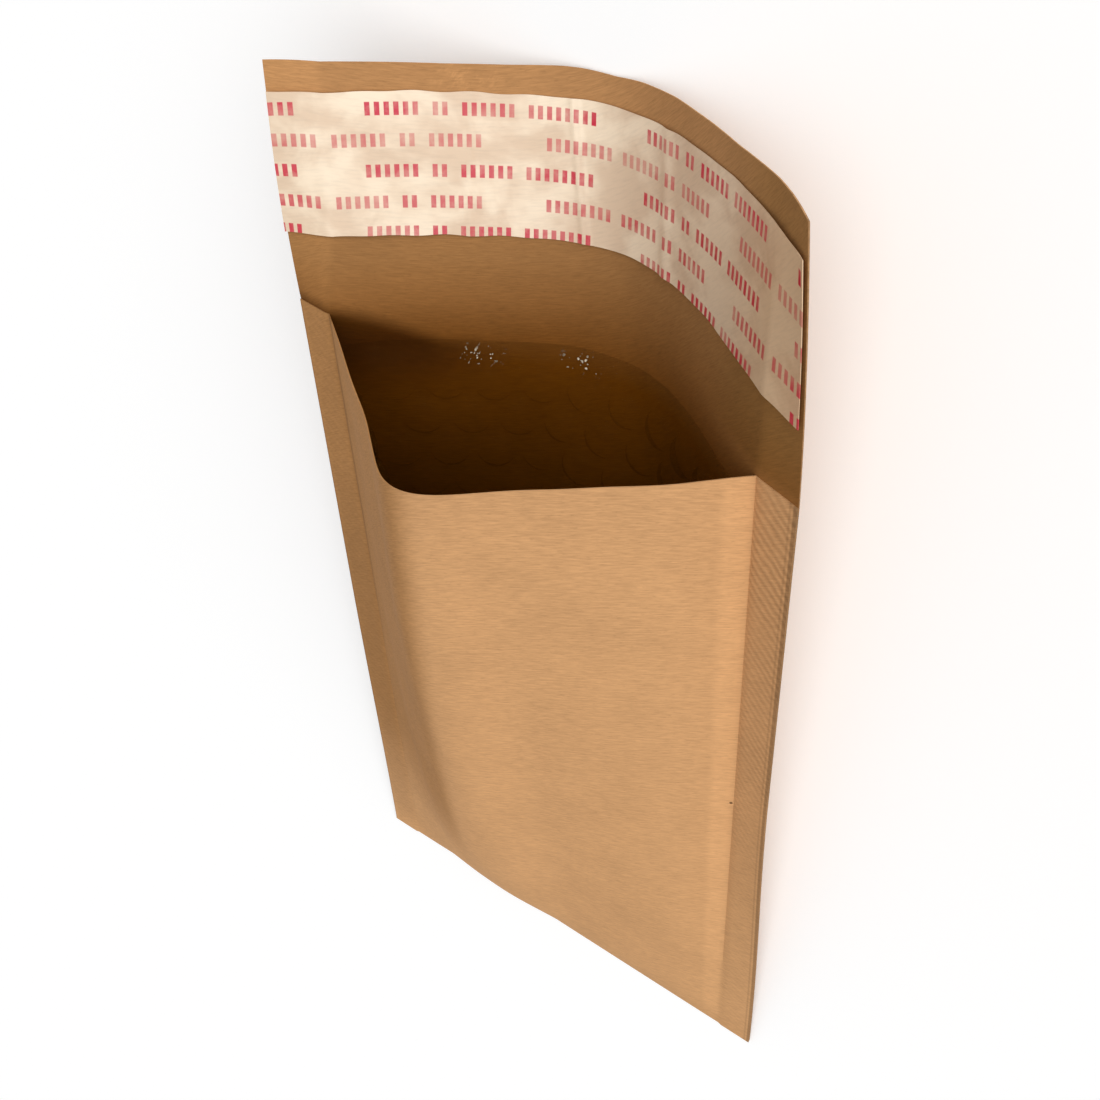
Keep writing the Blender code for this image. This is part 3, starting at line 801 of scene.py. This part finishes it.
def front_painted_shade(made, base):
    """Painted shade on the front's left side, its lower left flange and the crease by its left seam,
    and a painted highlight band by its right seam.
    """
    across, along = made.paper()
    climb = (RIDGE_AT_MOUTH - RIDGE_AT_FOLD) * WIDTH / BODY
    ridge = made.math("MULTIPLY_ADD", along, -climb, RIDGE_AT_FOLD * WIDTH)
    beyond = made.math("SUBTRACT", across, ridge)
    # Painted shade on the front's left side, from its seam to its ridge
    left_shade = made.product(made.ramp(beyond, 0.003, -0.007, smooth=True),
                        made.ramp(along, -0.02, -0.09, smooth=True))
    base = shaded(made, base, left_shade, LEFT_SIDE_SHADE)
    # Painted shade on the lower part of the front's left flange
    lower_flange_shade = made.product(made.ramp(across, SEAM + 0.003, SEAM - 0.002, smooth=True),
                                made.ramp(along, 0.0, -0.02, smooth=True),
                                made.ramp(along, -0.22, -0.15, smooth=True))
    base = shaded(made, base, lower_flange_shade, FLANGE_SHADE)
    # Painted shade in the crease beside the front's left seam
    valley_shade = made.product(made.band(across, SEAM, SEAM + VALLEY_SHADE_WIDTH, 0.0016),
                          made.ramp(along, -0.10, -0.20, smooth=True))
    base = shaded(made, base, valley_shade, VALLEY_SHADE)
    # Painted highlight: a lighter band where the front rounds down to its right seam
    light = made.product(made.band(across, *RIGHT_HIGHLIGHT_BAND, 0.0014), made.ramp(along, 0, -0.01))
    return shaded(made, base, light, RIGHT_HIGHLIGHT)


def kraft_outside():
    made, base, height = kraft("kraft_outside", linear(205, 156, 108))
    base = front_painted_shade(made, base)
    base, height = seam_marks(made, base, height)
    across, along = made.paper()
    away = made.node("ShaderNodeCombineXYZ", {0: made.math("SUBTRACT", across, SPECK[0]),
                                              1: made.math("ADD", along, SPECK[1])}).outputs[0]
    away = made.node("ShaderNodeVectorMath", {0: away}, operation="LENGTH").outputs["Value"]
    base = shaded(made, base, made.ramp(away, SPECK_SIZE, SPECK_SIZE * 0.6), 0.25)
    return matt_paper(made, base, height)


# Painted shade and light on the inner face: painted shade below the liner and in the pocket, a
# painted shadow in the pocket's left corner, painted light on the flap's left seam and painted
# shade towards the flap's right end. Then a light scuff near the flap's edge
BELOW_LINER_SHADE = (0.70, 0.66, 0.56)
POCKET_SHADE = (0.62, 0.39, 0.02)
POCKET_CORNER_SHADOW = (0.30, 0.23, 0.05)
FLAP_SEAM_LIGHT = 1.14
FLAP_RIGHT_SHADE = (0.80, 0.78, 0.66)
SCUFF_ACROSS = (0.038, 0.052)
SCUFF_ALONG = (BODY + 0.91 * FLAP, BODY + 0.97 * FLAP)
SCUFF_LIGHT = 1.35


def pocket_corner_shadow(made, across, along):
    """1 under a painted shadow of the front's mouth edge: in the corner below the mouth's left end,
    under a line that sinks away from the seam.
    """
    edge = made.ramp(across, 0.0126, 0.037, BODY + 0.001, BODY - 0.010)
    return made.product(made.ramp(made.math("SUBTRACT", along, edge), 0.0035, -0.0030, smooth=True),
                        made.ramp(across, 0.060, 0.030, smooth=True),
                        made.ramp(along, BODY - 0.030, BODY - 0.008, smooth=True))


def kraft_inside():
    """The inner face: browner than the outer, partly as painted shade, and with painted shade into
    the pocket, as the photo shows it.
    """
    made, base, height = kraft("kraft_inside", linear(182, 134, 87))
    across, along = made.paper()
    along = made.math("ABSOLUTE", along)
    # Painted shade: darker from the flap's edge down towards the mouth, below the liner
    towards = made.ramp(along, BODY + 0.85 * FLAP, BODY + 0.15 * FLAP, smooth=True)
    base = shaded(made, base, towards, BELOW_LINER_SHADE)
    # Painted shade: darker and browner into the pocket
    base = shaded(made, base, made.ramp(along, BODY + 0.013, BODY - 0.016), POCKET_SHADE)
    # Painted shadow of the front's mouth edge in the pocket's left corner
    base = shaded(made, base, pocket_corner_shadow(made, across, along), POCKET_CORNER_SHADOW)
    # Painted light: the flap's left seam is lightened where the lamps leave it darker
    on_flap = made.ramp(along, BODY, BODY + 0.003)
    seam = made.product(on_flap, made.ramp(across, SEAM + 0.001, SEAM - 0.002, smooth=True))
    base = shaded(made, base, seam, FLAP_SEAM_LIGHT)
    # Painted shade: darker towards the flap's right end
    right = made.product(on_flap, made.ramp(across, 0.118, 0.150, smooth=True))
    base = shaded(made, base, right, FLAP_RIGHT_SHADE)
    scuff = made.noise(made.stretched((0.004, 0.0012, 0.002), (0, 0, 0.9)), 1, 3, 0.7)
    scuffed = made.product(made.band(across, *SCUFF_ACROSS, 0.004),
                           made.band(along, *SCUFF_ALONG, 0.003), made.ramp(scuff, 0.5, 0.7))
    base = shaded(made, base, scuffed, SCUFF_LIGHT)
    return matt_paper(made, base, height)


# The sizes of the film's wrinkles and flecks. The photo shows glints on two bubbles below the
# back's mouth. The lamps here give none, so white flecks are painted there.
WRINKLE = (0.0008, 0.0034, 0.0008)
FLECK = (0.0008, 0.0050, 0.0008)
GLINT_PATCHES = ((0.0420, 0.0530), (0.0690, 0.0800))
GLINT_ALONG = (BODY - 0.0155, BODY - 0.0105)
GLINT_SOFT = 0.0020


def film_material():
    """Clear film: little of its own colour shows, apart from flecks painted for its glints."""
    made = Material("film")
    across, along = made.paper()
    wrinkles = made.noise(made.stretched(WRINKLE, WRINKLE_TURN), 1, 2, 0.55, 0.6)
    stains = made.noise(made.object, 60, 2, 0.5)
    flecks = made.noise(made.stretched(FLECK, WRINKLE_TURN), 1, 0.5, 0.5)
    at_height = made.band(along, *GLINT_ALONG, GLINT_SOFT)
    patches = made.largest([made.product(made.band(across, *patch, GLINT_SOFT), at_height)
                            for patch in GLINT_PATCHES])
    glints = made.product(patches, made.ramp(flecks, 0.69, 0.72))
    base = made.mix(made.ramp(stains, 0.35, 0.7), linear(84, 52, 14), linear(60, 34, 4))
    base = made.mix(glints, base, linear(246, 234, 206))
    return made.finish(Base_Color=base, Roughness=0.30,
                       Specular_IOR_Level=made.ramp(glints, 0, 1, 0.05, 0.8),
                       Alpha=made.ramp(glints, 0, 1, 0.08, 0.95),
                       Normal=made.bump(wrinkles, 0.0003, 0.8))


def glue_material():
    made = Material("hot_melt_glue")
    smear = made.noise(made.stretched((0.02, 0.002, 0.002)), 1, 3)
    base = made.mix(made.ramp(smear, 0.3, 0.7), linear(206, 190, 140), linear(226, 214, 172))
    return made.finish(Base_Color=base, Roughness=0.3, Normal=made.bump(smear, 0.0001, 0.5))


# The liner's print: rows of plain bars in groups. Each row has its height on the flap, the start
# of its run, its strength and whether it is the run that goes the other way.
PRINT_LINES = ((0.797, 0.1300, 1.0, False), (0.6775, 0.3890, 0.72, True),
               (0.558, 0.1270, 0.95, False), (0.4335, 0.3890, 0.85, True),
               (0.309, 0.1250, 0.95, False))
PRINT_HEIGHT = 0.0029
PRINT_RUN = 0.0550
PRINT_GAP = 0.0158
BAR_GROUPS = (6, 2, 6, 8)
BAR_WIDTH = 0.00125
GROUP_SPACE = 1.1        # the room between two groups, in pitches of the bars
INK = (196, 22, 56)


def bar_groups():
    """Where each group of bars starts and ends in a run, and the bars' pitch."""
    slots = sum(BAR_GROUPS) + GROUP_SPACE * (len(BAR_GROUPS) - 1)
    pitch = (PRINT_RUN - BAR_WIDTH) / (slots - 1)
    groups, slot = [], 0.0
    for count in BAR_GROUPS:
        groups.append((slot * pitch, (slot + count - 1) * pitch + BAR_WIDTH))
        slot += count + GROUP_SPACE
    return groups, pitch


def print_run(made, place, turned):
    """1 on the bars of one run, from a place along it."""
    groups, pitch = bar_groups()
    marks = []
    for first, last in groups:
        low, high = (PRINT_RUN - last, PRINT_RUN - first) if turned else (first, last)
        group = made.band(place, low - 0.0002, high + 0.0002, 0.00005)
        since = made.math("ADD", made.math("SUBTRACT", place, low), pitch)
        bar = made.band(made.math("MODULO", since, pitch), 0, BAR_WIDTH, 0.00010)
        marks.append(made.product(group, bar))
    return made.largest(marks)


def liner_ink(made):
    """1 where the print is inked, less where it is worn or faded."""
    across, up = made.paper()
    repeat = PRINT_RUN + PRINT_GAP
    rows = []
    for height, start, strength, turned in PRINT_LINES:
        row = made.band(up, height * FLAP, height * FLAP + PRINT_HEIGHT, 0.00012)
        place = made.math("MODULO", made.math("ADD", across, 3 * repeat - start * WIDTH), repeat)
        rows.append(made.product(row, print_run(made, place, turned), strength))
    wear = made.noise(made.object, 330, 3, 0.6)
    faded = made.noise(made.object, 62, 2, 0.5)
    return made.product(made.largest(rows), made.ramp(wear, 0.28, 0.55, 0.7, 1.0),
                        made.ramp(faded, 0.36, 0.52, 0.65, 1.0))


# Painted shade: the liner is darker towards the right, which faces away from the light, and once
# more at its right end
LINER_SHADE = (0.90, 0.84, 0.79)
LINER_RIGHT_END_SHADE = (0.92, 0.82, 0.72)


def liner_material():
    """Glassine release paper: cream, with greyer blotches where it lies off the adhesive."""
    made = Material("release_liner_paper")
    across = made.paper()[0]
    blotch = made.noise(made.stretched((0.019, 0.015, 0.019)), 1, 4, 0.55, 0.25)
    fine = made.noise(made.stretched((0.004, 0.0005, 0.004), PHOTO_TURN), 1, 2)
    base = made.mix(made.ramp(blotch, 0.40, 0.62, smooth=True),
                    linear(222, 196, 168), linear(244, 224, 197))
    # Painted shade on the liner's right part, and more at its right end
    worn = made.ramp(across, 0.40 * WIDTH, 0.80 * WIDTH, smooth=True)
    base = shaded(made, base, worn, LINER_SHADE)
    base = shaded(made, base, made.ramp(across, 0.125, 0.155, smooth=True), LINER_RIGHT_END_SHADE)
    base = shaded(made, base, made.ramp(fine, 0.45, 0.75), 0.92)
    base = made.mix(liner_ink(made), base, linear(*INK))
    gloss = made.ramp(blotch, 0.40, 0.62, 0.50, 0.34)
    return made.finish(Base_Color=base, Roughness=gloss, Normal=made.bump(blotch, 0.0004, 0.35))


# Lights and floor
KEY_TOWARDS = (0.53, 0.34, 0.78)
KEY_STRENGTH = 2.32
KEY_ANGLE = 75
SKY = 0.38
FLOOR_REACH = 4
FLOOR_DROP = 0.0002      # keeps the floor's face off the paper that rests on it
FLOOR_CARD = 0.9         # how white the floor is for the light that it gives the object
FLOOR_SHARE = 1.04       # of the light that falls on the floor, how much the camera sees
FLOOR_GLOW = 0.01


def background_rays(tree):
    """1 for the rays that see the white background: the camera's, glossy and transmitted ones."""
    paths = tree.nodes.new("ShaderNodeLightPath").outputs
    seen = paths["Is Camera Ray"]
    for name in ("Is Glossy Ray", "Is Transmission Ray"):
        either = tree.nodes.new("ShaderNodeMath")
        either.operation = "MAXIMUM"
        tree.links.new(seen, either.inputs[0])
        tree.links.new(paths[name], either.inputs[1])
        seen = either.outputs[0]
    return seen


def show_behind(tree, lit, seen, output):
    """One shader lights the object, and another is what the background's rays see."""
    choose = tree.nodes.new("ShaderNodeMixShader")
    tree.links.new(background_rays(tree), choose.inputs[0])
    tree.links.new(lit.outputs[0], choose.inputs[1])
    tree.links.new(seen.outputs[0], choose.inputs[2])
    tree.links.new(choose.outputs[0], tree.nodes[output].inputs["Surface"])


def floor_material():
    material = bpy.data.materials.new("floor_white")
    material.use_nodes = True
    tree = material.node_tree
    card = tree.nodes["Principled BSDF"]
    card.inputs["Base Color"].default_value = (FLOOR_CARD, FLOOR_CARD, FLOOR_CARD, 1)
    card.inputs["Roughness"].default_value = 1
    card.inputs["Specular IOR Level"].default_value = 0
    seen = tree.nodes.new("ShaderNodeBsdfDiffuse")
    seen.inputs["Color"].default_value = (FLOOR_SHARE, FLOOR_SHARE, FLOOR_SHARE, 1)
    glow = tree.nodes.new("ShaderNodeEmission")
    glow.inputs["Strength"].default_value = FLOOR_GLOW
    both = tree.nodes.new("ShaderNodeAddShader")
    tree.links.new(seen.outputs[0], both.inputs[0])
    tree.links.new(glow.outputs[0], both.inputs[1])
    show_behind(tree, card, both, "Material Output")
    return material


def stage_floor():
    """A white floor that lights the object as white card does, and keeps its shadow."""
    mesh = bpy.data.meshes.new("floor")
    corners = [(x * FLOOR_REACH, y * FLOOR_REACH, 0)
               for x, y in ((-1, -1), (1, -1), (1, 1), (-1, 1))]
    mesh.from_pydata(corners, [], [(0, 1, 2, 3)])
    mesh.materials.append(floor_material())
    floor = bpy.data.objects.new("floor", mesh)
    bpy.context.scene.collection.objects.link(floor)
    floor.location.z = -FLOOR_DROP


def white_world(strength):
    world = bpy.data.worlds.new("studio")
    bpy.context.scene.world = world
    world.use_nodes = True
    tree = world.node_tree
    lit = tree.nodes["Background"]
    lit.inputs["Color"].default_value = (1, 1, 1, 1)
    lit.inputs["Strength"].default_value = strength
    seen = tree.nodes.new("ShaderNodeBackground")
    seen.inputs["Color"].default_value = (1, 1, 1, 1)
    seen.inputs["Strength"].default_value = 1
    show_behind(tree, lit, seen, "World Output")


def sun(name, towards, strength, angle):
    """A distant lamp in the given direction from the object."""
    lamp = bpy.data.lights.new(name, "SUN")
    lamp.energy = strength
    lamp.angle = radians(angle)
    made = bpy.data.objects.new(name, lamp)
    made.rotation_mode = "QUATERNION"
    made.rotation_quaternion = Vector(towards).to_track_quat("Z", "Y")
    bpy.context.scene.collection.objects.link(made)


def photo_camera():
    data = bpy.data.cameras.new("photo_camera")
    data.lens = CAMERA_LENS
    data.sensor_width = SENSOR
    data.clip_start = 0.01
    made = bpy.data.objects.new("photo_camera", data)
    turn = Matrix([CAMERA_RIGHT, [-c for c in CAMERA_DOWN], [-c for c in CAMERA_FORWARD]])
    made.matrix_world = (Matrix.Translation(np.array(CAMERA_PLACE) + SHIFT)
                         @ turn.transposed().to_4x4())
    bpy.context.scene.collection.objects.link(made)
    bpy.context.scene.camera = made


def main():
    bpy.context.scene.view_settings.view_transform = "Standard"
    sheet = kraft_sheet([kraft_outside(), kraft_inside()])
    film = film_bag(film_material())
    liner = release_liner(liner_material())
    for piece, node, slot in ((sheet, "kraft_envelope", "kraft"),
                              (film, "bubble_lining", "film"),
                              (liner, "release_liner", "liner")):
        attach(piece, "root")
        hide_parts(node)
    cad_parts["adhesive_strip"].material_slots[0].material = glue_material()
    stage_floor()
    white_world(SKY)
    sun("key_light", KEY_TOWARDS, KEY_STRENGTH, KEY_ANGLE)
    photo_camera()


main()
